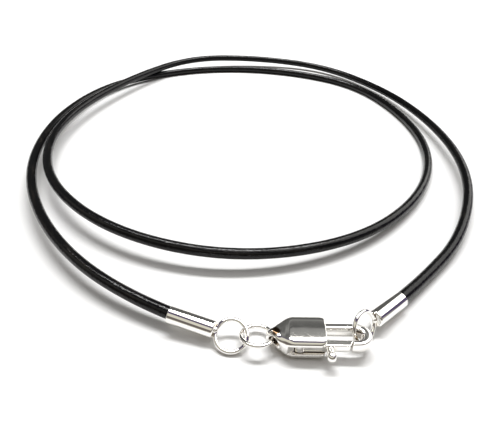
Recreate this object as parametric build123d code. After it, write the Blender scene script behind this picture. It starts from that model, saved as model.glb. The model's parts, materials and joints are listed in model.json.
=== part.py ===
from build123d import *

import math
import os

# Round leather cord necklace, laid down in a double loop and fastened in front by a lobster clasp.
# Millimetres, +Z up. The surface that it lies on is z = 0, and the origin lies under the clasp, near the
# middle of the metal pieces. The clasp runs along +X, and the two loops of cord lie behind it, towards +Y.

# The cord
cord_diameter = 1.5

# The two end caps: a tube over the cord's end, closed by a disc with a loop soldered to it
glue_gap = 0.05
cap_wall = 0.2
cap_length = 5.4
cap_disc = 0.5
cap_edge = 0.1
loop_outside = 4.0
loop_wire = 0.5
solder_depth = 0.1
solder_radius = 0.42

# The jump ring between the left cap's loop and the clasp
jump_outside = 4.0
jump_wire = 0.5
jump_slit = 0.05
jump_slit_angle = 112.0
jump_play = 0.2

# The clasp's tail eye, which stands upright
eye_wall = 0.3
eye_hole = 1.1
eye_height = 1.9
eye_width = 0.7
eye_play = 0.22

# The clasp's housing: a nose that widens from the eye to the shoulders, and a slot for the lever
nose_over_eye = 0.2
nose_width = 2.0
nose_length = 0.75
housing_length = 5.1
housing_width = 3.9
housing_height = 2.65
end_slant = 0.15
nose_round = 0.75
shoulder_round = 1.2
end_round = 0.75
crown_run = 0.6
crown_drop = 0.35
lower_bevel = 0.15
bevel_limit = 0.85

# The clasp's claw: fixed arm on the far side, round hook at the end
claw_length = 5.0
claw_root = 1.2
arm_width = 0.87
arm_height = 1.5
claw_opening = 1.3
hook_width = 1.1
hook_return = 0.25
claw_offset = 0.2
claw_round = 0.34

# The sprung lever on the near side, turning on a rivet
lever_width = 0.75
lever_height = 1.05
lever_side_gap = 0.1
lever_tip_gap = 0.1
lever_reach = 0.4
rivet_diameter = 0.7
rivet_gap = 0.05
heel_radius = 0.75
heel_gap = 0.12
heel_room = 0.4
rivet_back = 2.8
rivet_inset = 0.15
thumb_ball = 1.1
thumb_stem = 0.85
thumb_forward = 0.4
thumb_reach = 0.4

# How the pieces lie: headings turn about +Z from +X, a pitch lifts the end that points forward
left_mouth = (-13.511, -0.101)
left_heading = -16.5
left_pitch = -5.0
left_tilt = 26.0
left_lift = 0.767
jump_heading = -0.6
jump_tilt = -15.4
jump_lift = 0.145
clasp_pitch = 1.9
clasp_floor_gap = 0.05
right_heading = 222.1
right_pitch = 5.55
right_tilt = 116.6
right_lift = 0.14
# The right cap's loop goes through the hook: its middle from the bow's middle, in loop radii
right_loop_side = (0.642, 0.803)

# The cord's route after it leaves the left cap: x, y and how far its underside clears the surface.
# It runs clockwise seen from above: an outer turn that sinks to the surface at the back, then an inner turn
# that rises in front, stays high on the left, crosses over the first turn and comes down on the right.
cord_straight_left = 10.8
cord_straight_right = 8.7
cord_route = [
    (-32.5, 12.6, 2.0),
    (-41.6, 28.7, 2.1),
    (-44.5, 48.7, 1.6),
    (-40.6, 69.0, 0.65),
    (-28.5, 82.2, 0.05),
    (-11.7, 87.8, 0.0),
    (6.3, 85.8, 0.0),
    (21.2, 77.3, 0.0),
    (28.4, 59.5, 0.0),
    (29.1, 41.7, 0.05),
    (21.9, 25.2, 0.35),
    (8.8, 12.9, 1.05),
    (-8.7, 8.3, 1.85),
    (-26.2, 13.7, 2.3),
    (-39.3, 28.1, 2.25),
    (-42.8, 48.2, 2.1),
    (-35.2, 71.4, 1.9),
    (-22.8, 89.6, 1.75),
    (-5.2, 93.4, 1.2),
    (13.6, 90.7, 0.4),
    (26.7, 74.4, 0.5),
    (32.3, 53.3, 1.4),
    (32.3, 32.8, 1.8),
    (25.9, 16.9, 0.6),
]
arc_share = 0.45

# Worked out from the sizes above
cord_radius = cord_diameter / 2
bore_radius = cord_radius + glue_gap
cap_radius = bore_radius + cap_wall
bore_depth = cap_length - cap_disc
loop_radius = (loop_outside - loop_wire) / 2
loop_centre = cap_length + loop_outside / 2 - solder_depth
jump_radius = (jump_outside - jump_wire) / 2

eye_centre = eye_wall + eye_hole / 2
housing_start = eye_wall + eye_hole - nose_over_eye
housing_end = housing_start + housing_length
clasp_length = housing_end + claw_length
arm_inside = claw_opening / 2 - claw_offset
arm_outside = arm_inside + arm_width
lever_inside = arm_inside - claw_opening
lever_outside = lever_inside - lever_width
bow_radius = claw_opening / 2
bow_x = clasp_length - hook_width - bow_radius
seat_x = bow_x - hook_return
rivet_x = housing_end - rivet_back
rivet_y = lever_inside - rivet_inset
rivet_radius = rivet_diameter / 2
slot_height = lever_height + 2 * lever_side_gap
thumb_x = housing_end + thumb_forward
thumb_y = lever_outside - thumb_reach - thumb_ball / 2


def lying(place, heading, pitch):
    """A frame whose +X points along a heading, with that end lifted by the pitch."""
    return Pos(*place) * Rot(0, 0, heading) * Rot(0, -pitch, 0)


def point(frame, x, y=0.0, z=0.0):
    """A point of a piece's own frame, in the necklace's frame."""
    return (frame * Pos(x, y, z)).position


def tube_height(pitch):
    """Height of the tube's axis at its mouth when the lower rim of the mouth touches the surface."""
    return cap_radius * math.cos(math.radians(pitch))


def end_cap(tilt):
    """A cap in its own frame: mouth at the origin, closed end and loop along +X."""
    tube = Plane.YZ * extrude(Circle(cap_radius), cap_length)
    closed_rim = tube.edges().filter_by(GeomType.CIRCLE).sort_by(Axis.X)[-1]
    tube = fillet(closed_rim, cap_edge)
    tube -= Plane.YZ * extrude(Circle(bore_radius), bore_depth)
    loop = Pos(loop_centre, 0, 0) * Rot(tilt, 0, 0) * Torus(loop_radius, loop_wire / 2)
    # The bead of solder where the wire meets the disc
    bead = Pos(cap_length, 0, 0) * Sphere(solder_radius)
    return tube + bead + loop


def jump_ring_piece():
    """The loose ring about its own middle, flat in XY, with the slit where its wire's ends meet."""
    ring = Torus(jump_radius, jump_wire / 2)
    slit = Rot(0, 0, jump_slit_angle) * Pos(jump_radius, 0, 0) * Box(2 * jump_wire, jump_slit, 2 * jump_wire)
    return ring - slit


def housing_block():
    """The housing along X: narrow nose, full width from the shoulders on, slanted end, bevelled rims."""
    nose = nose_width / 2
    side = housing_width / 2
    shoulder = housing_start + nose_length
    outline = Polyline(
        (housing_start, nose),
        (shoulder, side),
        (housing_end - end_slant, side),
        (housing_end + end_slant, -side),
        (shoulder, -side),
        (housing_start, -nose),
        close=True,
    )
    plan = make_face(outline)
    plan = fillet(plan.vertices().sort_by(Axis.X)[-2:], end_round)
    plan = fillet(plan.vertices().sort_by(Axis.X)[2:4], shoulder_round)
    plan = fillet(plan.vertices().sort_by(Axis.X)[:2], nose_round)
    block = extrude(plan, housing_height / 2, both=True)
    widest_bevel = bevel_limit * min(nose_round, shoulder_round, end_round)
    top = block.faces().sort_by(Axis.Z)[-1]
    block = chamfer(top.edges(), min(crown_run, widest_bevel), crown_drop, reference=top)
    return chamfer(block.faces().sort_by(Axis.Z)[0].edges(), min(lower_bevel, widest_bevel))


def claw_plan():
    """The claw seen from above: fixed arm, hook round the opening, and the slanted seat of the lever."""
    root = housing_end - claw_root
    bow_y = arm_inside - bow_radius
    hook_low = lever_outside
    hook_middle = (arm_outside + hook_low) / 2
    hook_half = (arm_outside - hook_low) / 2
    outer = EllipticalCenterArc(
        (bow_x, hook_middle), clasp_length - bow_x, hook_half, start_angle=-90, arc_size=180
    )
    inner = CenterArc((bow_x, bow_y), bow_radius, -90, 180)
    far_side = Line((bow_x, arm_outside), (root, arm_outside))
    end = Line((root, arm_outside), (root, arm_inside))
    near_side = Line((root, arm_inside), (bow_x, arm_inside))
    # The hook's end comes back along the near side, to the slanted seat of the lever
    inner_return = Line((bow_x, lever_inside), (seat_x, lever_inside))
    seat = Line((seat_x, lever_inside), (seat_x - lever_reach, hook_low))
    outer_return = Line((seat_x - lever_reach, hook_low), (bow_x, hook_low))
    return make_face([outer, far_side, end, near_side, inner, inner_return, seat, outer_return])


def clasp_body_piece():
    """Tail eye, housing, claw and rivet in one solid, tail end at the origin, hook along +X."""
    housing = housing_block()
    eye_round = Pos(eye_height / 2, 0, 0) * Rot(90, 0, 0) * Cylinder(eye_height / 2, eye_width)
    # The nose widens from the eye to the housing
    root_plan = Polyline(
        (eye_height / 2, eye_width / 2),
        (housing_start + nose_round, nose_width / 2),
        (housing_start + nose_round, -nose_width / 2),
        (eye_height / 2, -eye_width / 2),
        close=True,
    )
    eye_root = extrude(make_face(root_plan), eye_height / 2, both=True)
    claw = extrude(claw_plan(), arm_height / 2, both=True)
    # The rims are rounded, but for those of the seat, the root and the short returns
    rims = claw.faces().filter_by(Axis.Z).edges()
    claw = fillet(rims.sort_by(SortBy.LENGTH)[-8:], claw_round)
    body = housing + eye_round + eye_root + claw
    body -= Pos(eye_centre, 0, 0) * Rot(90, 0, 0) * Cylinder(eye_hole / 2, 2 * housing_width)
    # The slot for the lever is open on the near side and at the claw's end
    slot_inside = rivet_y + heel_radius + heel_gap
    slot_outside = -housing_width
    slot = Pos(rivet_x - heel_radius - heel_room, slot_outside, 0) * Box(
        housing_length,
        slot_inside - slot_outside,
        slot_height,
        align=(Align.MIN, Align.MIN, Align.CENTER),
    )
    slot = fillet(slot.edges().filter_by(Axis.Z).sort_by(Axis.X)[:2], heel_radius)
    body -= slot
    rivet = Pos(rivet_x, rivet_y, 0) * Cylinder(rivet_radius, slot_height + 2 * lever_side_gap)
    return body + rivet


def lever_piece():
    """The lever: heel round the rivet, straight gate to the slanted tip, thumb ball on a stem."""
    slant = math.hypot(lever_reach, lever_width)
    back = lever_tip_gap * slant / lever_width
    tip_inside = seat_x - back
    tip_outside = tip_inside - lever_reach
    gate = make_face(
        Polyline(
            (rivet_x, lever_inside),
            (tip_inside, lever_inside),
            (tip_outside, lever_outside),
            (rivet_x, lever_outside),
            close=True,
        )
    )
    plan = Pos(rivet_x, rivet_y) * Circle(heel_radius) + gate
    lever = extrude(plan, lever_height / 2, both=True)
    lever -= Pos(rivet_x, rivet_y, 0) * Cylinder(rivet_radius + rivet_gap, 2 * lever_height)
    stem_length = thumb_ball / 2 + thumb_reach + lever_width / 2
    stem = Pos(thumb_x, thumb_y, 0) * Rot(-90, 0, 0) * Cylinder(
        thumb_stem / 2, stem_length, align=(Align.CENTER, Align.CENTER, Align.MIN)
    )
    ball = Pos(thumb_x, thumb_y, 0) * Sphere(thumb_ball / 2)
    return lever + stem + ball


def cord_piece(points):
    """The cord as straight runs joined by tangent arcs, each arc as large as its two runs allow."""
    points = [Vector(*p) for p in points]
    radii = []
    for before, corner, after in zip(points, points[1:], points[2:]):
        run_in = corner - before
        run_out = after - corner
        half_turn = math.radians(run_in.get_angle(run_out)) / 2
        radii.append(arc_share * min(run_in.length, run_out.length) / math.tan(half_turn))
    path = FilletPolyline(*points, radius=radii)
    start = Plane(origin=points[0], z_dir=points[1] - points[0])
    cord = sweep(start * Circle(cord_radius), path=path)
    section = math.pi * cord_radius**2
    runs = [(b - a).length for a, b in zip(points, points[1:])]
    print("cord runs", [round(r, 1) for r in runs])
    print("cord radii", [round(r, 1) for r in radii], "least", round(min(radii), 1))
    print("cord length", round(path.length, 1), "volume", round(cord.volume, 2))
    print("section times length", round(section * path.length, 2))
    return cord


# The cord holds the left cap's mouth a little up, and its loop leads to the jump ring
left_height = tube_height(left_pitch) + left_lift
left_frame = lying((*left_mouth, left_height), left_heading, left_pitch)
end_cap_left = left_frame * end_cap(left_tilt)

# The jump ring hangs taut in the loop
left_loop = point(left_frame, loop_centre)
jump_step = loop_radius + jump_radius - (loop_wire + jump_wire) / 2 - jump_play
jump_turn = math.radians(jump_heading)
jump_middle = left_loop + Vector(
    jump_step * math.cos(jump_turn), jump_step * math.sin(jump_turn), jump_lift
)
jump_ring = Pos(*jump_middle) * Rot(jump_tilt, 0, 0) * jump_ring_piece()

# The clasp's eye is held by the jump ring's wire
wire_in_eye = eye_hole / 2 - jump_wire / 2 - eye_play
tail_x = jump_middle.X + jump_radius + wire_in_eye - eye_centre
nose_drop = (housing_start + lower_bevel) * math.sin(math.radians(clasp_pitch))
tail_z = housing_height / 2 + clasp_floor_gap - nose_drop
clasp_frame = lying((tail_x, jump_middle.Y, tail_z), 0, clasp_pitch)
clasp_body = clasp_frame * clasp_body_piece()
clasp_lever = clasp_frame * lever_piece()

# The right cap's loop goes round the hook, and the cap comes down nearly to the surface behind it
bow_middle = point(clasp_frame, bow_x, arm_inside - bow_radius)
right_height = tube_height(right_pitch) + right_lift
loop_from_mouth = point(lying((0, 0, 0), right_heading, right_pitch), loop_centre)
right_x = bow_middle.X + right_loop_side[0] * loop_radius - loop_from_mouth.X
right_y = bow_middle.Y + right_loop_side[1] * loop_radius - loop_from_mouth.Y
right_frame = lying((right_x, right_y, right_height), right_heading, right_pitch)
end_cap_right = right_frame * end_cap(right_tilt)

# The cord starts and ends on the discs inside the caps
route = [point(left_frame, bore_depth), point(left_frame, bore_depth - cord_straight_left)]
route += [Vector(x, y, lift + cord_radius) for x, y, lift in cord_route]
route += [point(right_frame, bore_depth - cord_straight_right), point(right_frame, bore_depth)]
leather_cord = cord_piece(route)

pieces = {
    "leather_cord": leather_cord,
    "end_cap_left": end_cap_left,
    "end_cap_right": end_cap_right,
    "jump_ring": jump_ring,
    "clasp_body": clasp_body,
    "clasp_lever": clasp_lever,
}

os.makedirs("parts", exist_ok=True)
for name, piece in pieces.items():
    export_step(piece, "parts/" + name + ".step")

# Places that the record states
metal = Compound([piece for name, piece in pieces.items() if name != "leather_cord"])
box = metal.bounding_box()
print("metal box", [round(v, 3) for v in box.min], [round(v, 3) for v in box.max])
print("route ends", [[round(c, 2) for c in route[i]] for i in (0, 1, -2, -1)])
rivet_middle = point(clasp_frame, rivet_x, rivet_y)
rivet_axis = point(clasp_frame, rivet_x, rivet_y, 1) - rivet_middle
print("lever turns at", [round(v, 4) for v in rivet_middle], "axis", [round(v, 5) for v in rivet_axis])
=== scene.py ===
# %% [markdown]
# # A leather cord necklace, dressed in Blender
# The necklace is one black leather cord laid in a double loop, closed in front by small silver pieces: two
# end caps with soldered loops, a jump ring, and a sprung lobster clasp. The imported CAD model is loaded
# first. It is the fixed frame: every piece made below goes where that model says, in metres, with +Z up.

import json
import math

import bmesh
import bpy
import numpy as np
from mathutils import Euler, Matrix, Vector


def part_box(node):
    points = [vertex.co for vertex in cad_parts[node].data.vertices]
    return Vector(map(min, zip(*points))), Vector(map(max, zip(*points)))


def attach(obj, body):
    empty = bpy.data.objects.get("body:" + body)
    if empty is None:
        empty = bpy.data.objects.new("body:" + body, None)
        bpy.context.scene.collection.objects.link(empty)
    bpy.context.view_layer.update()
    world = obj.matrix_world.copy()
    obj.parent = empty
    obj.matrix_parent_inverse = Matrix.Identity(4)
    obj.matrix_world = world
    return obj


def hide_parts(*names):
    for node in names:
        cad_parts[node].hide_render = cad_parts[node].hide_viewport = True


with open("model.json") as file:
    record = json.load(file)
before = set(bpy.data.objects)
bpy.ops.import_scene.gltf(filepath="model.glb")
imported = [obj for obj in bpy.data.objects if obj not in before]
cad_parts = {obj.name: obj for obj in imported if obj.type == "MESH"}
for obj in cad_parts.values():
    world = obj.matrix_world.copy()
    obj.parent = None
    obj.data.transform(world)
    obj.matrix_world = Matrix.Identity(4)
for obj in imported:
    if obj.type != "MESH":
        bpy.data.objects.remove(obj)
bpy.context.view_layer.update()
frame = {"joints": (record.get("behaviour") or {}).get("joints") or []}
scene = bpy.context.scene
MM = 0.001

# %% [markdown]
# ## The camera
# A photograph taken close to a small object has strong perspective: the clasp in front looks more than
# twice as large as the back of the loops. So the camera's place matters as much as its angle. It stands
# about 50 mm from the clasp, looks down at 37 degrees, and is rolled by 2 degrees.

# %% Camera
CAMERA_PLACE = (-4.942 * MM, -31.635 * MM, 39.3 * MM)
LOOKS_DOWN = 37.0
ROLL = 2.0
FOCAL_PIXELS = 431.0
FRAME_PIXELS = 500.0
SENSOR_MM = 36.0
NEAREST = 1 * MM
FURTHEST = 20.0

camera = bpy.data.objects.new("camera", bpy.data.cameras.new("camera"))
scene.collection.objects.link(camera)
scene.camera = camera
camera.data.sensor_width = SENSOR_MM
camera.data.lens = FOCAL_PIXELS / FRAME_PIXELS * SENSOR_MM
camera.data.clip_start = NEAREST
camera.data.clip_end = FURTHEST
tilt = Euler((math.radians(90 - LOOKS_DOWN), 0, 0)).to_matrix()
roll = Matrix.Rotation(math.radians(ROLL), 3, "Z")
camera.matrix_world = Matrix.Translation(CAMERA_PLACE) @ (tilt @ roll).to_4x4()
print("camera lens", round(camera.data.lens, 2), "mm")

# %% [markdown]
# ## The cord's line
# A cord lies in smooth curves, so its line is a NURBS spline whose control points are the points of its
# route. The spline passes near the points without touching them, which gives the long even bends that a
# springy leather cord takes by itself. The order and the end-point switch are set after the points, or the
# line stays straight between them.

# %% Cord route
CORD_DIAMETER = 1.5 * MM
SPLINE_STEPS = 60
LINE_STEP = 0.3 * MM
# The first two points and the last two lie on the axes of the two end caps: x, y, z in millimetres
LEFT_CAP_AXIS = [(-8.83, -1.49, 1.34), (-19.15, 1.57, 2.28)]
RIGHT_CAP_AXIS = [(16.11, 6.42, 0.77), (9.68, 0.61, 1.61)]
# Between them: x, y and how far the underside of the cord clears the surface
ROUTE = [
    (-32.5, 12.6, 2.0),
    (-41.6, 28.7, 2.1),
    (-44.5, 48.7, 1.6),
    (-40.6, 69.0, 0.65),
    (-28.5, 82.2, 0.05),
    (-11.7, 87.8, 0.0),
    (6.3, 85.8, 0.0),
    (21.2, 77.3, 0.0),
    (28.4, 59.5, 0.0),
    (29.1, 41.7, 0.05),
    (21.9, 25.2, 0.35),
    (8.8, 12.9, 1.05),
    (-8.7, 8.3, 1.85),
    (-26.2, 13.7, 2.3),
    (-39.3, 28.1, 2.25),
    (-42.8, 48.2, 2.1),
    (-35.2, 71.4, 1.9),
    (-22.8, 89.6, 1.75),
    (-5.2, 93.4, 1.2),
    (13.6, 90.7, 0.4),
    (26.7, 74.4, 0.5),
    (32.3, 53.3, 1.4),
    (32.3, 32.8, 1.8),
    (25.9, 16.9, 0.6),
]


def spline_line(name, points, resolution):
    """A point array read along the smooth NURBS spline that these control points shape."""
    curve = bpy.data.curves.new(name, "CURVE")
    curve.dimensions = "3D"
    curve.resolution_u = resolution
    spline = curve.splines.new("NURBS")
    spline.points.add(len(points) - 1)
    spline.points.foreach_set("co", np.c_[points, np.ones(len(points))].ravel())
    spline.order_u = 3
    spline.use_endpoint_u = True
    holder = bpy.data.objects.new(name, curve)
    mesh = bpy.data.meshes.new_from_object(holder)
    line = np.empty(len(mesh.vertices) * 3)
    mesh.vertices.foreach_get("co", line)
    bpy.data.objects.remove(holder)
    bpy.data.meshes.remove(mesh)
    return line.reshape(-1, 3)


def evenly_spaced(line, step):
    """The same line with points at equal steps of its own length, and the length up to each point."""
    along = np.r_[0, np.cumsum(np.linalg.norm(np.diff(line, axis=0), axis=1))]
    wanted = np.linspace(0, along[-1], int(round(along[-1] / step)) + 1)
    return np.stack([np.interp(wanted, along, line[:, k]) for k in range(3)], axis=1), wanted


lifted = [(x, y, lift + CORD_DIAMETER / MM / 2) for x, y, lift in ROUTE]
control_points = np.array(LEFT_CAP_AXIS + lifted + RIGHT_CAP_AXIS) * MM
rough_line = spline_line("cord_route", control_points, SPLINE_STEPS)
cord_line, cord_along = evenly_spaced(rough_line, LINE_STEP)
print("cord line", len(cord_line), "points", round(cord_along[-1] / MM, 1), "mm long")

# %% [markdown]
# ## The cord
# A tube is a grid of two parameters: one runs along the line, one turns round it. At each point of the line
# two directions square to it carry the circle. The line is almost level everywhere, so the upward
# direction, made square to the line, never fails. Leather is cut and rolled by hand, so the radius wanders
# by a percent or two, slowly along the cord and a little round it.

# %% Surfaces from two parameters


def grid_mesh(name, points, closed_u=False, closed_v=True, uv=None):
    """A mesh from an array of points [u, v]: each cell of the grid becomes one four-sided face.

    A closed parameter joins its last row back to its first. The pair uv gives each grid point its place on
    the map."""
    rows, columns = points.shape[:2]
    index = np.arange(rows * columns).reshape(rows, columns)
    if closed_u:
        index = np.concatenate([index, index[:1]], axis=0)
    if closed_v:
        index = np.concatenate([index, index[:, :1]], axis=1)
    cells = [index[:-1, :-1], index[1:, :-1], index[1:, 1:], index[:-1, 1:]]
    faces = np.stack(cells, axis=-1).reshape(-1, 4)
    mesh = bpy.data.meshes.new(name)
    mesh.vertices.add(rows * columns)
    mesh.vertices.foreach_set("co", points.reshape(-1))
    mesh.loops.add(faces.size)
    mesh.loops.foreach_set("vertex_index", faces.ravel())
    mesh.polygons.add(len(faces))
    mesh.polygons.foreach_set("loop_start", np.arange(len(faces)) * 4)
    mesh.polygons.foreach_set("use_smooth", np.ones(len(faces), bool))
    mesh.update(calc_edges=True)
    if uv is not None:
        u, v = uv
        u_all = np.broadcast_to(u[:, None], (len(u), len(v)))
        v_all = np.broadcast_to(v[None, :], (len(u), len(v)))
        corner = [(slice(None, -1), slice(None, -1)), (slice(1, None), slice(None, -1))]
        corner += [(slice(1, None), slice(1, None)), (slice(None, -1), slice(1, None))]
        per_loop = np.stack([np.stack([u_all[c], v_all[c]], axis=-1) for c in corner], axis=2)
        mesh.uv_layers.new(name="UVMap").data.foreach_set("uv", per_loop.ravel())
    return mesh


def square_frame(line):
    """Two unit directions square to a nearly level line: sideways, and upwards as far as square allows."""
    tangent = np.gradient(line, axis=0)
    tangent /= np.linalg.norm(tangent, axis=1, keepdims=True)
    side = np.cross(tangent, [0.0, 0.0, 1.0])
    side /= np.linalg.norm(side, axis=1, keepdims=True)
    return side, np.cross(side, tangent)


def show(mesh, name):
    """An object for a finished mesh, at the origin."""
    piece = bpy.data.objects.new(name, mesh)
    scene.collection.objects.link(piece)
    return piece


# %% Cord tube
CORD_SIDES = 28
WANDER = 0.012
WANDER_SPAN = 1.5
WANDER_SHIFT = -0.3
WAVE_LENGTHS = (23 * MM, 9.1 * MM, 4.3 * MM)
WAVE_TURN = 1.7

side, up = square_frame(cord_line)
turn = np.linspace(-math.pi / 2, 1.5 * math.pi, CORD_SIDES, endpoint=False)
# Three waves along and round the cord: sin(2 pi s / length + (k + 1) * v) / (k + 1)
wander = sum(
    np.sin(2 * math.pi * cord_along[:, None] / length + (k + 1) * turn[None, :] + WAVE_TURN * k) / (k + 1)
    for k, length in enumerate(WAVE_LENGTHS)
)
radius = CORD_DIAMETER / 2 * (1 + WANDER * (wander / WANDER_SPAN + WANDER_SHIFT))
tube = (
    cord_line[:, None, :]
    + radius[..., None] * np.cos(turn)[None, :, None] * side[:, None, :]
    + radius[..., None] * np.sin(turn)[None, :, None] * up[:, None, :]
)
around = np.linspace(0, math.pi * CORD_DIAMETER, CORD_SIDES + 1)
cord_mesh = grid_mesh("leather_cord_skin", tube, uv=(cord_along, around))
cord = show(cord_mesh, "cord")
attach(cord, "necklace")
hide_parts("leather_cord")
print("cord tube", len(cord_mesh.polygons), "faces")

# %% [markdown]
# ## Where each metal piece lies
# Each cap lies on the straight line of the cord's end, so its own axes are worked out from two points of
# the route: x runs from the open mouth to the closed end, y is level, and z is square to both. The clasp's
# axes come from the lever's hinge in the frame: the hinge line is the clasp's own z, and the rivet's place
# on it is known.

# %% Axes of the pieces
CAP_BORE_DEPTH = 4.9 * MM
RIVET_PLACE = (3.5 * MM, -1.0 * MM)


def axes_along(ahead, upwards=(0.0, 0.0, 1.0)):
    """Rows x, y, z of a piece's own axes: x along its length, y level, z square to both."""
    x = np.array(ahead) / np.linalg.norm(ahead)
    y = np.cross(upwards, x)
    y /= np.linalg.norm(y)
    return np.stack([x, y, np.cross(x, y)])


def placed(points, place, axes):
    """Points given in a piece's own axes, set where the piece lies: place + x*X + y*Y + z*Z."""
    return np.asarray(place) + points @ axes


def cap_place(bottom_of_bore, back_along_cord):
    """The middle of the cap's open mouth, and the cap's own axes."""
    bottom, back = np.array(bottom_of_bore) * MM, np.array(back_along_cord) * MM
    axes = axes_along(bottom - back)
    return bottom - axes[0] * CAP_BORE_DEPTH, axes


left_place, left_axes = cap_place(LEFT_CAP_AXIS[0], LEFT_CAP_AXIS[1])
right_place, right_axes = cap_place(RIGHT_CAP_AXIS[1], RIGHT_CAP_AXIS[0])
hinge = frame["joints"][0]
hinge_line = np.array(hinge["axis"])
clasp_axes = axes_along(np.cross([0.0, 1.0, 0.0], hinge_line))
clasp_place = np.array(hinge["pos_m"]) - RIVET_PLACE[0] * clasp_axes[0] - RIVET_PLACE[1] * clasp_axes[1]
print("clasp's tail in mm", (clasp_place / MM).round(3), "left mouth", (left_place / MM).round(3))

# %% [markdown]
# ## The end caps
# An end cap is drawn from one tube: open at the mouth, closed by a disc, with a wire loop soldered to the
# disc. A tube is a profile turned round its axis, so the two parameters are the distance along the profile
# and the turn about the axis. The profile runs from the disc's middle over its rounded edge, along the
# outside, round the lip of the mouth and back down the bore. Both its ends lie on the axis, where the
# grid's points fall together and are merged, so the surface is closed.

# %% Turned and bent shapes


def arc(middle, radius, start, end, count):
    """Points of a circle's arc: middle + radius * (cos, sin), from one angle to the other, in degrees."""
    angle = np.radians(np.linspace(start, end, count))
    return np.stack([middle[0] + radius * np.cos(angle), middle[1] + radius * np.sin(angle)], axis=1)


def turned(profile, count):
    """A profile of (x, radius) turned about x: (x, radius * cos v, radius * sin v)."""
    v = np.linspace(0, 2 * math.pi, count, endpoint=False)
    x, radius = profile[:, 0, None], profile[:, 1, None]
    return np.stack([x + 0 * v, radius * np.cos(v), radius * np.sin(v)], axis=-1)


def bent_wire(radius, wire, start, end, tilt, count=160, sides=24, rounded=4, end_share=0.12, end_power=0.35):
    """A round wire bent to a circle in a plane turned by tilt about x: a tube whose middle line is
    radius * (cos u, sin u).

    Where it doesn't close on itself, its ends are rounded over end_share of the wire's thickness. The wire's
    radius there is wire / 2 * sin(t) ** end_power."""
    closed = abs(end - start) >= 360
    u = np.radians(np.linspace(start, end, count, endpoint=not closed))
    v = np.linspace(0, 2 * math.pi, sides, endpoint=False)
    size = np.full(count, wire / 2)
    if not closed:
        fade = np.sin(np.linspace(0, math.pi / 2, rounded + 1)) ** end_power
        end_turn = wire * end_share / radius
        u = np.r_[np.full(rounded + 1, u[0]), u[1:-1], np.full(rounded + 1, u[-1])]
        u[: rounded + 1] += np.linspace(0, end_turn, rounded + 1)
        u[-rounded - 1 :] -= np.linspace(end_turn, 0, rounded + 1)
        size = np.r_[fade * wire / 2, size[1:-1], fade[::-1] * wire / 2]
    size, u = size[:, None], u[:, None]
    away = radius + size * np.cos(v)
    flat = np.stack([away * np.cos(u), away * np.sin(u), size * np.sin(v)], axis=-1)
    c, s = math.cos(math.radians(tilt)), math.sin(math.radians(tilt))
    return flat @ np.array([[1, 0, 0], [0, c, s], [0, -s, c]])


def joined(name, meshes, merge=1e-7):
    """One object from several closed surfaces: points that fall together merged, faces turned outwards."""
    bm = bmesh.new()
    for mesh in meshes:
        bm.from_mesh(mesh)
        bpy.data.meshes.remove(mesh)
    bmesh.ops.remove_doubles(bm, verts=bm.verts, dist=merge)
    bmesh.ops.recalc_face_normals(bm, faces=bm.faces)
    whole = bpy.data.meshes.new(name)
    bm.to_mesh(whole)
    bm.free()
    whole.polygons.foreach_set("use_smooth", np.ones(len(whole.polygons), bool))
    return show(whole, name)


# %% End caps
CAP_LENGTH = 5.4 * MM
CAP_RADIUS = 1.0 * MM
CAP_BORE = 0.8 * MM
LIP_ROUND = 0.07 * MM
EDGE_ROUND = 0.22 * MM
LOOP_OUTSIDE = 4.0 * MM
LOOP_WIRE = 0.5 * MM
SOLDER_DEPTH = 0.1 * MM
SOLDER_RADIUS = 0.42 * MM
LEFT_LOOP_TILT = 26.0
RIGHT_LOOP_TILT = 116.6
CAP_SIDES = 96
EDGE_POINTS = 9
LIP_POINTS = 7
SOLDER_POINTS = 17
SOLDER_SIDES = 32


def cap_profile():
    """The cap's half section as (x, radius), from the middle of its closed end to the bottom of the bore."""
    edge = arc((CAP_LENGTH - EDGE_ROUND, CAP_RADIUS - EDGE_ROUND), EDGE_ROUND, 0, 90, EDGE_POINTS)
    outer_lip = arc((LIP_ROUND, CAP_RADIUS - LIP_ROUND), LIP_ROUND, 90, 180, LIP_POINTS)
    inner_lip = arc((LIP_ROUND, CAP_BORE + LIP_ROUND), LIP_ROUND, 180, 270, LIP_POINTS)
    disc_middle = [(CAP_LENGTH, 0.0)]
    bore_bottom = [(CAP_BORE_DEPTH, CAP_BORE), (CAP_BORE_DEPTH, 0.0)]
    return np.concatenate([disc_middle, edge, outer_lip, inner_lip, bore_bottom])


def end_cap(name, place, axes, tilt, node):
    """Tube, wire loop and bead of solder of one cap, set on its cord."""
    tube = placed(turned(cap_profile(), CAP_SIDES), place, axes)
    loop = bent_wire((LOOP_OUTSIDE - LOOP_WIRE) / 2, LOOP_WIRE, 0, 360, tilt)
    loop_middle = np.array([CAP_LENGTH + LOOP_OUTSIDE / 2 - SOLDER_DEPTH, 0, 0])
    bead = arc((CAP_LENGTH, 0.0), SOLDER_RADIUS, 0, 180, SOLDER_POINTS)
    solder = turned(bead, SOLDER_SIDES)
    surfaces = [
        grid_mesh(name + "_tube", tube),
        grid_mesh(name + "_loop", placed(loop + loop_middle, place, axes), closed_u=True),
        grid_mesh(name + "_solder", placed(solder, place, axes)),
    ]
    cap = joined(name, surfaces)
    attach(cap, "necklace")
    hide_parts(node)
    return cap


left_cap = end_cap("left_cap", left_place, left_axes, LEFT_LOOP_TILT, "end_cap_left")
right_cap = end_cap("right_cap", right_place, right_axes, RIGHT_LOOP_TILT, "end_cap_right")
print("caps", len(left_cap.data.polygons), "faces each")

# %% [markdown]
# ## The jump ring
# A jump ring is a piece of wire bent round until its ends meet, and the fine seam between them stays
# visible. The wire's tube stops a hair short of a full turn, and its two ends are slightly rounded, as cut
# and tumbled wire is.

# %% Jump ring
JUMP_OUTSIDE = 4.0 * MM
JUMP_WIRE = 0.5 * MM
JUMP_TILT = -15.4
SEAM_TURN = 112.0
SEAM_GAP = 0.04 * MM

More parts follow.
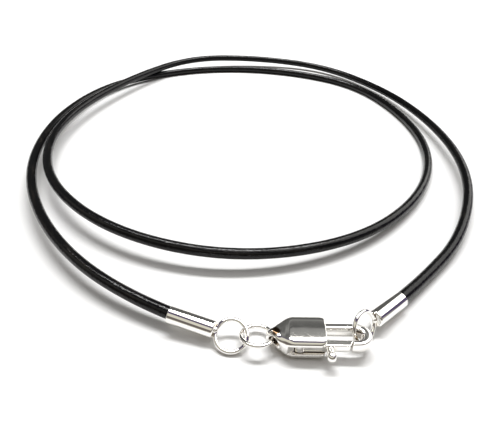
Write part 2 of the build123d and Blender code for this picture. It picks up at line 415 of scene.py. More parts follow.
low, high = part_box("jump_ring")
jump_middle = (np.array(low) + np.array(high)) / 2
jump_radius = (JUMP_OUTSIDE - JUMP_WIRE) / 2
half_gap = math.degrees(SEAM_GAP / 2 / jump_radius)
wire_start, wire_end = SEAM_TURN + half_gap, SEAM_TURN + 360 - half_gap
jump_tube = bent_wire(jump_radius, JUMP_WIRE, wire_start, wire_end, JUMP_TILT)
jump_mesh = grid_mesh("jump_ring_tube", jump_tube + jump_middle)
jump_ring = joined("jump_ring_wire", [jump_mesh])
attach(jump_ring, "necklace")
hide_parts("jump_ring")

# %% [markdown]
# ## The lobster clasp
# The clasp is cast in silver and tumbled until every edge is soft. Its housing is a row of soft-cornered
# sections set along the clasp's length, narrow at the tail, where the eye is pierced, and full at the
# shoulders. The claw is a bar bent round into a hook. Each form is one closed surface from a formula. They
# are fused by a voxel remesh, and then the slot that the lever swings in, the scoop at its end and the
# eye's hole are cut. A little smoothing rounds the corners where the forms meet, as casting does, where a
# bevel on such mixed edges would tear.

# %% Cast forms
VOXEL = 0.04 * MM
# Points closer than this are one, in millimetres
CAST_MERGE = 1e-4


def ball_directions(rings, sides):
    """Unit directions over the whole ball: (sin u cos v, sin u sin v, cos u)."""
    u = np.linspace(0, math.pi, rings)[:, None]
    v = np.linspace(0, 2 * math.pi, sides, endpoint=False)[None, :]
    return np.stack([np.sin(u) * np.cos(v), np.sin(u) * np.sin(v), np.cos(u) + 0 * v], axis=-1)


def pebble(corners, rounding, rings=33, sides=64):
    """A convex block with rounded edges: in each direction w, its furthest corner + rounding * w."""
    corners = np.array(corners)
    ways = ball_directions(rings, sides)
    furthest = np.argmax(ways @ corners.T, axis=-1)
    furthest[[0, -1]] = furthest[[0, -1], :1]
    return corners[furthest] + rounding * ways


def slab(plan, height, rounding):
    """A pebble from a plan of (x, y) corners, at z = height / 2 - rounding and at the same depth below."""
    levels = (height / 2 - rounding, rounding - height / 2)
    return pebble([(x, y, z) for x, y in plan for z in levels], rounding)


def squircle(count, power):
    """Points round a soft-cornered square: cosine and sine, each to the power 2 / power, with its sign."""
    v = np.linspace(0, 2 * math.pi, count, endpoint=False)
    c, s = np.cos(v), np.sin(v)
    return np.sign(c) * np.abs(c) ** (2 / power), np.sign(s) * np.abs(s) ** (2 / power)


def band(inner, outer, half_height, power=4.0, sides=40):
    """A bar between two plan curves: middle + half the width * c + height * s, with pointed ends."""
    c, s = squircle(sides, power)
    middle, half = (inner + outer) / 2, (outer - inner) / 2
    plan = middle[:, None, :] + half[:, None, :] * c[None, :, None]
    height = np.broadcast_to(half_height * s, plan.shape[:2])
    ring = np.concatenate([plan, height[..., None]], axis=-1)
    tip = [np.broadcast_to(np.r_[middle[k], 0.0], (1, sides, 3)) for k in (0, -1)]
    return np.concatenate([tip[0], ring, tip[1]], axis=0)


def apply_modifiers(body):
    """The body's mesh as its modifiers leave it, in place of the mesh it had."""
    whole = bpy.data.meshes.new_from_object(body.evaluated_get(bpy.context.evaluated_depsgraph_get()))
    body.modifiers.clear()
    old = body.data
    body.data = whole
    bpy.data.meshes.remove(old)


def move_points(mesh, way):
    """Every point of a mesh sent through one function of the whole array of points."""
    points = np.empty(len(mesh.vertices) * 3)
    mesh.vertices.foreach_get("co", points)
    mesh.vertices.foreach_set("co", way(points.reshape(-1, 3)).ravel())
    mesh.update()


def fused(name, surfaces, place, axes, cut=(), shape=None, voxel=VOXEL, smoothing=12):
    """One cast piece: closed surfaces fused by a remesh in small cubes, forms cut away, and all smoothed.

    The work is done in the piece's own axes and in millimetres, because the smallest voxel that Blender takes
    is a tenth of a millimetre in metres. The shape function moves the fused points before the smoothing."""
    body = joined(name, [grid_mesh(name, points / MM) for points in surfaces], CAST_MERGE)
    cutters = [joined(name + "_cut", [grid_mesh(name, points / MM)], CAST_MERGE) for points in cut]
    stages = [[("fuse", None)], [("cut", cutter) for cutter in cutters] + [("fuse", None)]]
    for number, stage in enumerate(stages if cutters else stages[:1]):
        for kind, cutter in stage:
            if kind == "fuse":
                modifier = body.modifiers.new(kind, "REMESH")
                modifier.mode = "VOXEL"
                modifier.voxel_size = voxel / MM
            else:
                modifier = body.modifiers.new(kind, "BOOLEAN")
                modifier.operation = "DIFFERENCE"
                modifier.object = cutter
        apply_modifiers(body)
        if number == 0 and shape:
            move_points(body.data, lambda points: shape(points * MM) / MM)
    soft = body.modifiers.new("soft", "SMOOTH")
    soft.factor = 0.5
    soft.iterations = smoothing
    apply_modifiers(body)
    for cutter in cutters:
        bpy.data.objects.remove(cutter)
    move_points(body.data, lambda points: placed(points * MM, place, axes))
    body.data.polygons.foreach_set("use_smooth", np.ones(len(body.data.polygons), bool))
    return body


# %% Clasp body
EYE_WALL = 0.3 * MM
EYE_HOLE = 1.1 * MM
EYE_RISE = 0.05 * MM
EYE_CUT_REACH = 2.0 * MM
EYE_SIDES = 48
HOUSING_END = 6.3 * MM
HOUSING_WIDTH = 3.9 * MM
HOUSING_HEIGHT = 2.65 * MM
# Stations of the housing in mm: x, half width, half height, drop of the middle, squareness
HOUSING_STATIONS = [
    (0.0, 0.2, 0.4, -0.12, 2.4),
    (0.15, 0.35, 0.66, -0.12, 2.6),
    (0.4, 0.42, 0.86, -0.12, 3.0),
    (0.62, 0.5, 0.93, -0.12, 3.0),
    (0.85, 0.76, 0.96, -0.05, 3.0),
    (1.05, 1.08, 0.98, 0.0, 3.0),
    (1.3, 1.34, 1.03, 0.05, 3.0),
    (1.5, 1.5, 1.1, 0.08, 3.2),
    (2.0, 1.8, 1.23, 0.05, 4.0),
    (2.45, 1.92, 1.305, 0.01, 6.0),
    (2.8, 1.95, 1.325, 0.0, 9.0),
]
# The rounding of the far end's plan, in mm as the stations are
END_ROUND = 0.65
END_STEPS = 7
HOUSING_RINGS = 140
HOUSING_SIDES = 96
CROWN_FLAT = 1.25 * MM
CROWN_RADIUS = 0.9 * MM
CROWN_RISE = 0.05 * MM
CROWN_BASE = 0.65 * MM
CLASP_LENGTH = 11.3 * MM
CLAW_ROOT = 1.2 * MM
OPENING = 1.3 * MM
ARM_INSIDE = 0.45 * MM
ARM_WIDTH = 0.87 * MM
ARM_HEIGHT = 1.5 * MM
HOOK_WIDTH = 1.1 * MM
HOOK_RETURN = 0.25 * MM
LEVER_WIDTH = 0.75 * MM
LEVER_HEIGHT = 1.05 * MM
LEVER_REACH = 0.4 * MM
SLOT_HEIGHT = 1.25 * MM
HEEL_RADIUS = 0.75 * MM
HEEL_GAP = 0.12 * MM
HEEL_ROOM = 0.1 * MM
SLOT_ROUND = 0.08 * MM
SLOT_CORNER = 0.45 * MM
SLOT_PAST_END = 2.0 * MM
SLOT_OUT_TO = -3.0 * MM
# The slot's edge goes round the heel in these steps, forwards and outwards
HEEL_STEPS = [(0.0, 0.0), (0.18 * MM, 0.49 * MM), (0.63 * MM, 0.94 * MM)]
# The scoop's plan: where its two sides start, and how far in each of them reaches
SCOOP_SIDES = [(2.25 * MM, -1.9 * MM), (3.2 * MM, -1.62 * MM)]
TIP_GAP = 0.1 * MM
BALL = 1.1 * MM
STEM = 0.85 * MM
BALL_FORWARD = 0.4 * MM
BALL_REACH = 0.4 * MM

lever_inside = ARM_INSIDE - OPENING
lever_outside = lever_inside - LEVER_WIDTH
bow_middle = np.array([CLASP_LENGTH - HOOK_WIDTH - OPENING / 2, ARM_INSIDE - OPENING / 2])
seat_x = bow_middle[0] - HOOK_RETURN


def housing_form():
    """The housing and tail as sections along x, each a soft-cornered square: (x, w * c, h * s - drop).

    The half width w, half height h, drop and squareness are read between the stations. The far end's plan is
    rounded by w = side - radius + radius * cos(a) while x = end - radius + radius * sin(a)."""
    turns = np.radians(np.linspace(0, 90, END_STEPS))
    squareness = HOUSING_STATIONS[-1][-1]
    end_x = HOUSING_END / MM - END_ROUND * (1 - np.sin(turns))
    end_w = HOUSING_WIDTH / MM / 2 - END_ROUND * (1 - np.cos(turns))
    end = [(x, w, HOUSING_HEIGHT / MM / 2, 0.0, squareness) for x, w in zip(end_x, end_w)]
    stations = np.array(HOUSING_STATIONS + end)
    x = np.linspace(stations[0, 0], stations[-1, 0], HOUSING_RINGS)
    w, h, drop, power = [np.interp(x, stations[:, 0], stations[:, k]) for k in range(1, 5)]
    v = np.linspace(0, 2 * math.pi, HOUSING_SIDES, endpoint=False)
    c, s = [np.sign(trig(v)) * np.abs(trig(v)) ** (2 / power[:, None]) for trig in (np.cos, np.sin)]
    rings = np.stack([x[:, None] + 0 * v, w[:, None] * c, h[:, None] * s - drop[:, None]], axis=-1)
    tips = [np.broadcast_to((x[k], 0.0, -drop[k]), (1, len(v), 3)) for k in (0, -1)]
    return np.concatenate([tips[0], rings, tips[1]]) * MM


def crowned(points):
    """The cast top made soft: z sinks by rise * (y / half width) ** 2, and past the flat middle strip also by
    (y - flat) ** 2 / (2 * radius). Both fade down the sides."""
    out = points.copy()
    across = np.abs(points[:, 1])
    sink = CROWN_RISE * (across / HOUSING_WIDTH * 2) ** 2
    sink += np.clip(across - CROWN_FLAT, 0, None) ** 2 / (2 * CROWN_RADIUS)
    share = np.clip((points[:, 2] - CROWN_BASE) / (HOUSING_HEIGHT / 2 - CROWN_BASE), 0, 1)
    out[:, 2] -= share * sink
    return out


def claw_curves(count=48):
    """The claw's inner and outer plan curves: straight arm, half turn of the hook, short return to the seat.

    The half turns are middle + reach * (cos a, sin a), a circle inside and an ellipse outside."""
    angle = np.linspace(math.pi / 2, -math.pi / 2, count)
    arm_outside = ARM_INSIDE + ARM_WIDTH
    around = np.stack([np.cos(angle), np.sin(angle)], axis=1)
    outer_middle = np.array([bow_middle[0], (arm_outside + lever_outside) / 2])
    outer_reach = np.array([CLASP_LENGTH - bow_middle[0], (arm_outside - lever_outside) / 2])
    inner = bow_middle + OPENING / 2 * around
    outer = outer_middle + outer_reach * around
    root = HOUSING_END - CLAW_ROOT
    inner = np.concatenate([[(root, ARM_INSIDE)], inner, [(seat_x, lever_inside)]])
    outer = np.concatenate([[(root, arm_outside)], outer, [(seat_x - LEVER_REACH, lever_outside)]])
    return inner, outer


inner, outer = claw_curves()
eye_way = np.array([(-1, 0), (-1, 1), (1, 1), (1, 0)]) * (EYE_CUT_REACH, EYE_HOLE / 2)
eye_form = turned(eye_way, EYE_SIDES)[..., [1, 0, 2]] + np.array([EYE_WALL + EYE_HOLE / 2, 0, EYE_RISE])
slot_back = RIVET_PLACE[1] + HEEL_RADIUS + HEEL_GAP - SLOT_ROUND
slot_start = RIVET_PLACE[0] - HEEL_RADIUS - HEEL_ROOM
slot_far = HOUSING_END + SLOT_PAST_END
slot_plan = [
    (slot_start + SLOT_CORNER, slot_back),
    *[(slot_start + SLOT_ROUND + ahead, RIVET_PLACE[1] - aside) for ahead, aside in HEEL_STEPS],
    (slot_far, SLOT_OUT_TO),
    (slot_far, slot_back),
]
scoop_plan = [(x, y) for x, inwards in SCOOP_SIDES for y in (inwards, SLOT_OUT_TO)]
slot_form = slab(slot_plan, SLOT_HEIGHT, SLOT_ROUND)
scoop_form = slab(scoop_plan, SLOT_HEIGHT, SLOT_ROUND)
housing = housing_form()
claw = band(inner, outer, ARM_HEIGHT / 2)
hollows = [slot_form, scoop_form, eye_form]
clasp = fused("clasp_cast", [housing, claw], clasp_place, clasp_axes, cut=hollows, shape=crowned)
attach(clasp, "necklace")
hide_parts("clasp_body")
print("clasp body", len(clasp.data.polygons), "faces")

# %% [markdown]
# ## The lever
# The lever is a straight gate whose round heel turns on the rivet, with a thumb ball on a short stem. The
# heel and stem are turned profiles, the ball is a ball, and the gate is a slab with a slanted tip. They are
# fused as the body is, but in finer cubes and with less smoothing, because the lever is small and clears
# its slot by a tenth of a millimetre.

# %% Clasp lever
LEVER_ROUND = 0.12 * MM
# The gate's slanted tip stands back from its seat by these shares of the rounding, inside and outside
TIP_BACK = (1.5, 0.7)
# The heel's half section: height and radius, as shares of half its height and of its radius
HEEL_SECTION = [(-1, 0), (-1, 0.9), (-0.85, 1), (0.85, 1), (1, 0.9), (1, 0)]
# The stem's half section: length and half width, as shares of its length and its width
STEM_SECTION = [(0, 0), (0, 0.5), (1, 0.5), (1, 0)]
HEEL_SIDES = 64
STEM_SIDES = 32
BALL_GRID = (33, 48)
LEVER_VOXEL = 0.03 * MM
LEVER_SMOOTHING = 3

tip_x = seat_x - TIP_GAP * math.hypot(LEVER_REACH, LEVER_WIDTH) / LEVER_WIDTH
gate_inside, gate_outside = lever_inside - LEVER_ROUND, lever_outside + LEVER_ROUND
gate_plan = [
    (RIVET_PLACE[0], gate_inside),
    (tip_x - TIP_BACK[0] * LEVER_ROUND, gate_inside),
    (tip_x - LEVER_REACH - TIP_BACK[1] * LEVER_ROUND, gate_outside),
    (RIVET_PLACE[0], gate_outside),
]
gate = slab(gate_plan, LEVER_HEIGHT, LEVER_ROUND)
heel_profile = np.array(HEEL_SECTION) * (LEVER_HEIGHT / 2, HEEL_RADIUS)
heel = turned(heel_profile, HEEL_SIDES)[..., [1, 2, 0]] + np.array([*RIVET_PLACE, 0])
thumb = np.array([HOUSING_END + BALL_FORWARD, lever_outside - BALL_REACH - BALL / 2, 0])
ball = thumb + BALL / 2 * ball_directions(*BALL_GRID)
stem_profile = np.array(STEM_SECTION) * (BALL_REACH + (BALL + LEVER_WIDTH) / 2, STEM)
stem = turned(stem_profile, STEM_SIDES)[..., [1, 0, 2]] + thumb
lever_forms = [gate, heel, stem, ball]
fineness = {"voxel": LEVER_VOXEL, "smoothing": LEVER_SMOOTHING}
lever = fused("clasp_gate", lever_forms, clasp_place, clasp_axes, **fineness)
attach(lever, "lever")
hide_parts("clasp_lever")
print("lever", len(lever.data.polygons), "faces")

# %% [markdown]
# ## Shader nodes in a few words
# Every finish below is worked out by shader nodes, with no pictures. A few helpers keep that short: one
# makes a node and links its inputs, one does arithmetic, one draws a soft mask between two values, and one
# mixes two colours. An effect that several finishes share is a node group with named inputs and outputs.

# %% Node helpers


def node(tree, kind, inputs=(), **settings):
    """A new node with its settings made and its inputs set or linked, by place or by name."""
    made = tree.nodes.new(kind)
    for key, value in settings.items():
        setattr(made, key, value)
    for key, value in dict(inputs).items():
        if isinstance(value, bpy.types.NodeSocket):
            tree.links.new(value, made.inputs[key])
        else:
            made.inputs[key].default_value = value
    return made


def maths(tree, operation, *values, clamp=False):
    """The result of one Math node."""
    return node(tree, "ShaderNodeMath", enumerate(values), operation=operation, use_clamp=clamp).outputs[0]


def smooth_step(tree, value, start, end):
    """A soft mask: 0 at start, 1 at end."""
    made = node(tree, "ShaderNodeMapRange", {"Value": value, "From Min": start, "From Max": end})
    made.interpolation_type = "SMOOTHSTEP"
    return made.outputs["Result"]


def mixed(tree, mask, first, second):
    """Two colours mixed by a mask."""
    return node(tree, "ShaderNodeMix", {0: mask, 6: first, 7: second}, data_type="RGBA").outputs[2]


def noise(tree, vector, scale, detail=2.0):
    """Soft random values from 0 to 1, with this many waves to the metre."""
    made = node(tree, "ShaderNodeTexNoise", {"Vector": vector, "Scale": scale, "Detail": detail})
    return made.outputs["Fac"]


def stretched(tree, vector, scale, turn=0.0):
    """Coordinates turned about z, then scaled along each axis."""
    turned_by = node(tree, "ShaderNodeMapping", {"Vector": vector, "Rotation": (0, 0, math.radians(turn))})
    return node(tree, "ShaderNodeMapping", {"Vector": turned_by.outputs[0], "Scale": scale}).outputs[0]


def new_group(name, inputs, outputs):
    """A node group with named sockets: the group, what it is given, and where its results go."""
    group = bpy.data.node_groups.new(name, "ShaderNodeTree")
    for label, kind in inputs.items():
        group.interface.new_socket(label, in_out="INPUT", socket_type="NodeSocket" + kind)
    for label, kind in outputs.items():
        group.interface.new_socket(label, in_out="OUTPUT", socket_type="NodeSocket" + kind)
    return group, group.nodes.new("NodeGroupInput").outputs, group.nodes.new("NodeGroupOutput").inputs


def new_material(name, **constants):
    """A material's name, tree and Principled shader, with constant values set on the shader's own sockets."""
    made = bpy.data.materials.new(name)
    made.use_nodes = True
    shader = made.node_tree.nodes["Principled BSDF"]
    for label, value in constants.items():
        shader.inputs[label.replace("_", " ")].default_value = value
    return made, made.node_tree, shader


# %% [markdown]
# ## Effects shared by the finishes
# Silver that has been worn against skin and cloth is never a perfect mirror. The surface waves a little
# where it was filed and tumbled, and fine scratches cross each other on top. In the recesses a trace of
# warm tarnish stays where polishing cloth doesn't reach. The first group gives the waves and scratches, the
# second finds recesses by how much of the sky a point can see, and also mixes in a deep brown painted
# reflection where a finish asks for one. The third is the leather's skin: small pebbles of grain, fine
# creases that run along the cord, and brown showing faintly through the black dye.

# %% Shared effects
# Scratches: how their noise is stretched, and the turn of each set in degrees
SCRATCH_SETS = [((0.05, 1, 1), 38), ((0.05, 1, 1), -21), ((0.08, 1, 0.6), 84)]
SCRATCH_EDGE = (0.64, 0.74)
SCRATCH_WEAR = 0.5
SCRATCH_DEPTH = -0.06
PATCH_WAVES = 1.7
PATCH_EDGE = (0.35, 0.7)
PATCH_WEAR = 0.6
SKY_SAMPLES = 8
SKY_EDGE = (0.75, 0.15)
PEBBLE_EDGE = (0.75, 0.1)
PEBBLE_HEIGHT = 0.5
FINE_SHARE = 2.6
FINE_HEIGHT = 0.5
FINE_EDGE = (0.35, 0.7)
CREASE_STRETCH = (0.12, 1, 1)
CREASE_HEIGHT = 0.9
CREASE_EDGE = (0.5, 0.72)

polish, given, result = new_group(
    "Polishing marks",
    {"Vector": "Vector", "Waves": "Float", "Scratches": "Float", "Smooth": "Float", "Worn": "Float"},
    {"Roughness": "Float", "Height": "Float"},
)
waves = noise(polish, given["Vector"], given["Waves"], 1.0)
crossing = []
for scale, angle in SCRATCH_SETS:
    lines = noise(polish, stretched(polish, given["Vector"], scale, angle), given["Scratches"], 1.0)
    crossing.append(smooth_step(polish, lines, *SCRATCH_EDGE))
scratch = maths(polish, "MAXIMUM", crossing[0], maths(polish, "MAXIMUM", crossing[1], crossing[2]))
patch_noise = noise(polish, given["Vector"], maths(polish, "MULTIPLY", given["Waves"], PATCH_WAVES), 3.0)
patches = maths(polish, "MULTIPLY", smooth_step(polish, patch_noise, *PATCH_EDGE), PATCH_WEAR)
wear = maths(polish, "MULTIPLY_ADD", scratch, SCRATCH_WEAR, patches, clamp=True)
spread = maths(polish, "SUBTRACT", given["Worn"], given["Smooth"])
polish.links.new(maths(polish, "MULTIPLY_ADD", wear, spread, given["Smooth"]), result["Roughness"])
polish.links.new(maths(polish, "MULTIPLY_ADD", scratch, SCRATCH_DEPTH, waves), result["Height"])

tarnish_and_painted_reflection, given, result = new_group(
    "Recess tarnish and painted reflection",
    {
        "Clean": "Color",
        "Tinted": "Color",
        "Painted brown": "Color",
        "Reach": "Float",
        "Amount": "Float",
        "Painted share": "Float",
    },
    {"Color": "Color"},
)
sky = node(tarnish_and_painted_reflection, "ShaderNodeAmbientOcclusion", {"Distance": given["Reach"]}, samples=SKY_SAMPLES)
closed_in = smooth_step(tarnish_and_painted_reflection, sky.outputs["AO"], *SKY_EDGE)
hidden = maths(tarnish_and_painted_reflection, "MULTIPLY", closed_in, given["Amount"], clamp=True)
tinted = mixed(tarnish_and_painted_reflection, hidden, given["Clean"], given["Tinted"])
# The deep brown of the painted reflection is mixed in by its own share
tarnish_and_painted_reflection.links.new(mixed(tarnish_and_painted_reflection, given["Painted share"], tinted, given["Painted brown"]), result["Color"])

grain, given, result = new_group(
    "Leather grain",
    {"Vector": "Vector", "Along": "Vector", "Pebbles": "Float", "Creases": "Float"},
    {"Height": "Float", "Worn": "Float"},
)
cells = node(grain, "ShaderNodeTexVoronoi", {"Vector": given["Vector"], "Scale": given["Pebbles"]})
pebbles = smooth_step(grain, cells.outputs["Distance"], *PEBBLE_EDGE)
creases = noise(grain, stretched(grain, given["Along"], CREASE_STRETCH), given["Creases"], 3.0)
fine = noise(grain, given["Vector"], maths(grain, "MULTIPLY", given["Pebbles"], FINE_SHARE), 2.0)
fine_height = maths(grain, "MULTIPLY", fine, FINE_HEIGHT)
skin_height = maths(grain, "MULTIPLY_ADD", pebbles, PEBBLE_HEIGHT, fine_height)
grain.links.new(maths(grain, "MULTIPLY_ADD", creases, CREASE_HEIGHT, skin_height), result["Height"])
rubbed = maths(
    grain, "MULTIPLY", smooth_step(grain, creases, *CREASE_EDGE), smooth_step(grain, fine, *FINE_EDGE)
)
grain.links.new(rubbed, result["Worn"])
print("shared effects", [group.name for group in bpy.data.node_groups])

# %% [markdown]
# ## Silver
# Polished silver has no colour of its own beyond a slight warmth: what the eye sees is the room reflected
# in it. So the shader is a plain metal of low roughness. The drawn tubes and wires are smoother than the
# cast clasp, whose surface waves more. Round the tail's eye a deep brown painted reflection is put into
# the colour, standing for the dark bands that the room throws on the nose there.

# %% Silver finishes
SILVER = (0.94, 0.925, 0.895, 1)
TARNISH = (0.42, 0.335, 0.24, 1)
# Painted reflection: a near-black brown painted round the tail's eye for the dark bands reflected there
PAINTED_REFLECTION_BROWN = (0.06, 0.038, 0.022, 1)
TARNISH_REACH = 0.9 * MM
# The painted reflection patch: its middle in the clasp's own axes, its two edges, and how far soft noise
# moves them
PAINTED_PATCH_MIDDLE = (1.0 * MM, -0.1 * MM, 0.9 * MM)
PAINTED_PATCH_EDGES = (0.85 * MM, 0.5 * MM)
PAINTED_PATCH_WAVES = 2000.0
PAINTED_PATCH_SHIFT = 0.3 * MM
# Each finish: waves and scratches to the metre, least and most roughness, height of the waves, tarnish
SILVER_FINISHES = {
    "silver_caps": (450.0, 9000.0, 0.03, 0.09, 0.006 * MM, 0.5),
    "silver_ring": (700.0, 11000.0, 0.03, 0.08, 0.004 * MM, 0.6),
    "silver_clasp": (520.0, 8000.0, 0.03, 0.09, 0.008 * MM, 0.75),
}


def silver(name, waves, scratches, smooth, worn, wave_height, tarnish, painted_patch_at=None):
    """Silver with waves and scratches to the metre, its range of roughness, and tarnish in its recesses.

    A deep brown painted reflection surrounds one point of some pieces, with an edge that soft noise breaks
    up."""
    made, tree, shader = new_material(name, Metallic=1.0)
    place = node(tree, "ShaderNodeTexCoord").outputs["Object"]
    marks = node(tree, "ShaderNodeGroup", node_tree=polish)
    tree.links.new(place, marks.inputs["Vector"])
    for label, value in (("Waves", waves), ("Scratches", scratches), ("Smooth", smooth), ("Worn", worn)):
        marks.inputs[label].default_value = value
    tint = node(tree, "ShaderNodeGroup", node_tree=tarnish_and_painted_reflection)
    for label, value in (("Clean", SILVER), ("Tinted", TARNISH), ("Painted brown", PAINTED_REFLECTION_BROWN)):
        tint.inputs[label].default_value = value
    for label, value in (("Reach", TARNISH_REACH), ("Amount", tarnish), ("Painted share", 0.0)):
        tint.inputs[label].default_value = value
    # Painted reflection: a deep brown patch painted round one point
    if painted_patch_at is not None:
        away = node(tree, "ShaderNodeVectorMath", {0: place, 1: tuple(painted_patch_at)}, operation="DISTANCE")
        ragged = noise(tree, place, PAINTED_PATCH_WAVES, 3.0)
        spotted = maths(tree, "MULTIPLY_ADD", ragged, PAINTED_PATCH_SHIFT, away.outputs["Value"])
        tree.links.new(smooth_step(tree, spotted, *PAINTED_PATCH_EDGES), tint.inputs["Painted share"])
    bump = node(tree, "ShaderNodeBump", {"Height": marks.outputs["Height"], "Distance": wave_height})
    tree.links.new(tint.outputs["Color"], shader.inputs["Base Color"])
    tree.links.new(marks.outputs["Roughness"], shader.inputs["Roughness"])
    tree.links.new(bump.outputs["Normal"], shader.inputs["Normal"])
    return made


# The clasp's painted reflection patch sits round its tail's eye
painted_patches = {"silver_clasp": placed(np.array(PAINTED_PATCH_MIDDLE), clasp_place, clasp_axes)}
finishes = {name: silver(name, *values, painted_patches.get(name)) for name, values in SILVER_FINISHES.items()}

# %% [markdown]
# ## Leather
# Round leather cord is cut from a hide, dyed black right through and greased. It is almost black, and what
# shows is the light along its top: a thin line, broken by the grain. The grain reads the cord's own map for
# the creases, so that they follow every bend, and the object's coordinates for the pebbles, which have no
# direction.

# %% Black leather
LEATHER_IOR = 1.33
DYE = (0.002, 0.002, 0.0024, 1)
WORN_DYE = (0.02, 0.016, 0.013, 1)
PEBBLES_TO_METRE = 2800.0
CREASES_TO_METRE = 2200.0
LEAST_ROUGH = 0.13
WORN_ROUGH = 0.2
GRAIN_HEIGHT = 0.035 * MM
GRAIN_STRENGTH = 0.8

leather, tree, shader = new_material("black_leather", IOR=LEATHER_IOR)
coordinates = node(tree, "ShaderNodeTexCoord").outputs
skin = node(tree, "ShaderNodeGroup", node_tree=grain)
tree.links.new(coordinates["Object"], skin.inputs["Vector"])
tree.links.new(coordinates["UV"], skin.inputs["Along"])
skin.inputs["Pebbles"].default_value = PEBBLES_TO_METRE
skin.inputs["Creases"].default_value = CREASES_TO_METRE
worn = skin.outputs["Worn"]
tree.links.new(mixed(tree, worn, DYE, WORN_DYE), shader.inputs["Base Color"])
tree.links.new(maths(tree, "MULTIPLY_ADD", worn, WORN_ROUGH, LEAST_ROUGH), shader.inputs["Roughness"])
bump_inputs = {"Height": skin.outputs["Height"], "Distance": GRAIN_HEIGHT, "Strength": GRAIN_STRENGTH}
bump = node(tree, "ShaderNodeBump", bump_inputs)
tree.links.new(bump.outputs["Normal"], shader.inputs["Normal"])
finishes["black_leather"] = leather

# %% Finishes on the pieces
wearers = {
    "black_leather": [cord],
    "silver_caps": [left_cap, right_cap],
    "silver_ring": [jump_ring],
    "silver_clasp": [clasp, lever],
}
for finish, pieces in wearers.items():
    for piece in pieces:
        piece.data.materials.clear()
        piece.data.materials.append(finishes[finish])
print("finishes", {finish: [piece.name for piece in pieces] for finish, pieces in wearers.items()})

# %% [markdown]
# ## Floor, light and surroundings
# A small polished object is photographed on a white sheet under one large round diffuser, a little to the
# right and behind. A long narrow lamp high behind the object draws the shadows towards the camera. Silver
# shows the whole room, so the world is painted with what the photograph's reflections tell: the bright disc
# of the diffuser inside a wide dark violet rim, a grey gap low in that disc at the back, a violet dark low
# down behind, a brown band on the camera's side, and an olive room elsewhere. The rays that light matt
# surfaces see a dimmer copy of it, so that the lamp's shadows stay deep, and the camera itself sees a plain
# pale backdrop.

# %% Floor
FLOOR_HALF = 1.5
SHEET_WHITE = (0.9, 0.9, 0.9, 1)
corners = [(x * FLOOR_HALF, y * FLOOR_HALF, 0.0) for x, y in ((-1, -1), (1, -1), (1, 1), (-1, 1))]
floor_mesh = bpy.data.meshes.new("floor")
floor_mesh.from_pydata(corners, [], [(0, 1, 2, 3)])
floor = show(floor_mesh, "floor")
white, tree, shader = new_material("white_sheet", Roughness=1.0, Specular_IOR_Level=0.0)
shader.inputs["Base Color"].default_value = SHEET_WHITE
floor.data.materials.append(white)
scene.view_settings.view_transform = "Standard"

# %% Studio surroundings
DOME_MIDDLE = (0.318, 0.468, 0.824)
DOME_EDGE = math.cos(math.radians(42))
DOME_SOFT = (-0.008, 0.01)
DOME_LIGHT = (2.4, 2.38, 2.3, 1)
BACKDROP = (0.95, 0.95, 0.95, 1)
ROOM = (0.7, 0.68, 0.58, 1)
FRONT_DARK = (0.15, 0.13, 0.12, 1)
LOW_DARK = (0.12, 0.105, 0.15, 1)
RIM = (0.1, 0.08, 0.15, 1)
# The rim lies round the diffuser, where a direction's dot product with the diffuser's middle is near this
RIM_MIDDLE = 0.6
RIM_HALF = (0.145, 0.115)
# Edges of the dark parts: heights in degrees above the floor, and places from the back (+1) to the front (-1)
LOW_TOP = (31, 17)
BEHIND = (-0.3, 0.1)
FRONT = (-0.05, -0.35)
FRONT_TOP = (36, 30)
FRONT_FOOT = (0, 10)
# The grey gap: its sides as two soft edges, its greys by height in degrees, and its soft upper edge
GAP_SIDES = [math.radians(angle) for angle in (-75, -55, 20, 31)]
GAP_COLOURS = [(33, 0.11), (42, 0.13), (45, 0.26), (47.5, 0.14), (50.2, 0.1), (51, 0.25), (56, 0.33)]
GAP_TOP = (57.2, 55.6)
GAP_BLUE = 0.97
MATT_SHARE = 0.5

world = bpy.data.worlds.new("studio")
scene.world = world
world.use_nodes = True
tree = world.node_tree
background = tree.nodes["Background"]


def height_of(degrees):
    """The upward part of a unit direction that rises by this angle."""
    return math.sin(math.radians(degrees))


def height_step(upward, edges):
    """A soft mask of the upward part of the direction: 0 at the first of two angles, 1 at the second."""
    return smooth_step(tree, upward, height_of(edges[0]), height_of(edges[1]))


way = node(tree, "ShaderNodeTexCoord").outputs["Generated"]
dome = node(tree, "ShaderNodeVectorMath", {0: way, 1: DOME_MIDDLE}, operation="DOT_PRODUCT").outputs["Value"]
right, back, upward = node(tree, "ShaderNodeSeparateXYZ", {0: way}).outputs
azimuth = maths(tree, "ARCTAN2", right, back)

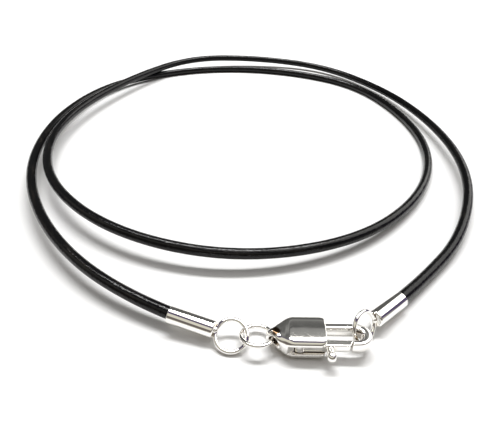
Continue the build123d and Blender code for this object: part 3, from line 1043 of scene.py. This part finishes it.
# The room, darker low down behind and in a band on the camera's side
low_behind = maths(tree, "MULTIPLY", height_step(upward, LOW_TOP), smooth_step(tree, back, *BEHIND))
room = mixed(tree, low_behind, ROOM, LOW_DARK)
front_heights = maths(tree, "MULTIPLY", height_step(upward, FRONT_TOP), height_step(upward, FRONT_FOOT))
front_band = maths(tree, "MULTIPLY", smooth_step(tree, back, *FRONT), front_heights)
room = mixed(tree, front_band, room, FRONT_DARK)

# The diffuser and its rim
inside = smooth_step(tree, dome, DOME_EDGE + DOME_SOFT[0], DOME_EDGE + DOME_SOFT[1])
lit = mixed(tree, inside, room, DOME_LIGHT)
from_rim = maths(tree, "ABSOLUTE", maths(tree, "SUBTRACT", dome, RIM_MIDDLE))
lit = mixed(tree, smooth_step(tree, from_rim, *RIM_HALF), lit, RIM)

# The grey gap, read from a ramp by height
ramp = node(tree, "ShaderNodeValToRGB", {0: upward})
stops = ramp.color_ramp.elements
for number, (degrees, grey) in enumerate(GAP_COLOURS):
    stop = stops[number] if number < 2 else stops.new(1.0)
    stop.position = height_of(degrees)
    stop.color = (grey, grey, grey * GAP_BLUE, 1)
gap_left = smooth_step(tree, azimuth, GAP_SIDES[0], GAP_SIDES[1])
gap_right = smooth_step(tree, azimuth, GAP_SIDES[3], GAP_SIDES[2])
gap = maths(tree, "MULTIPLY", maths(tree, "MULTIPLY", gap_left, gap_right), height_step(upward, GAP_TOP))
lit = mixed(tree, gap, lit, ramp.outputs["Color"])

rays = node(tree, "ShaderNodeLightPath").outputs
lit = mixed(tree, rays["Is Camera Ray"], lit, BACKDROP)
tree.links.new(lit, background.inputs["Color"])
strength = maths(tree, "MULTIPLY_ADD", rays["Is Diffuse Ray"], MATT_SHARE - 1, 1.0)
tree.links.new(strength, background.inputs["Strength"])

# %% Lamp
LAMP_PLACE = Vector((0.0, 0.254, 0.544))
LAMP_LENGTH = 0.62
LAMP_WIDTH = 0.09
LAMP_WATTS = 3.6

key = bpy.data.objects.new("lamp", bpy.data.lights.new("lamp", "AREA"))
scene.collection.objects.link(key)
key.data.shape = "ELLIPSE"
key.data.size = LAMP_LENGTH
key.data.size_y = LAMP_WIDTH
key.data.energy = LAMP_WATTS
aim = LAMP_PLACE.to_track_quat("Z", "Y").to_matrix().to_4x4()
key.matrix_world = Matrix.Translation(LAMP_PLACE) @ aim
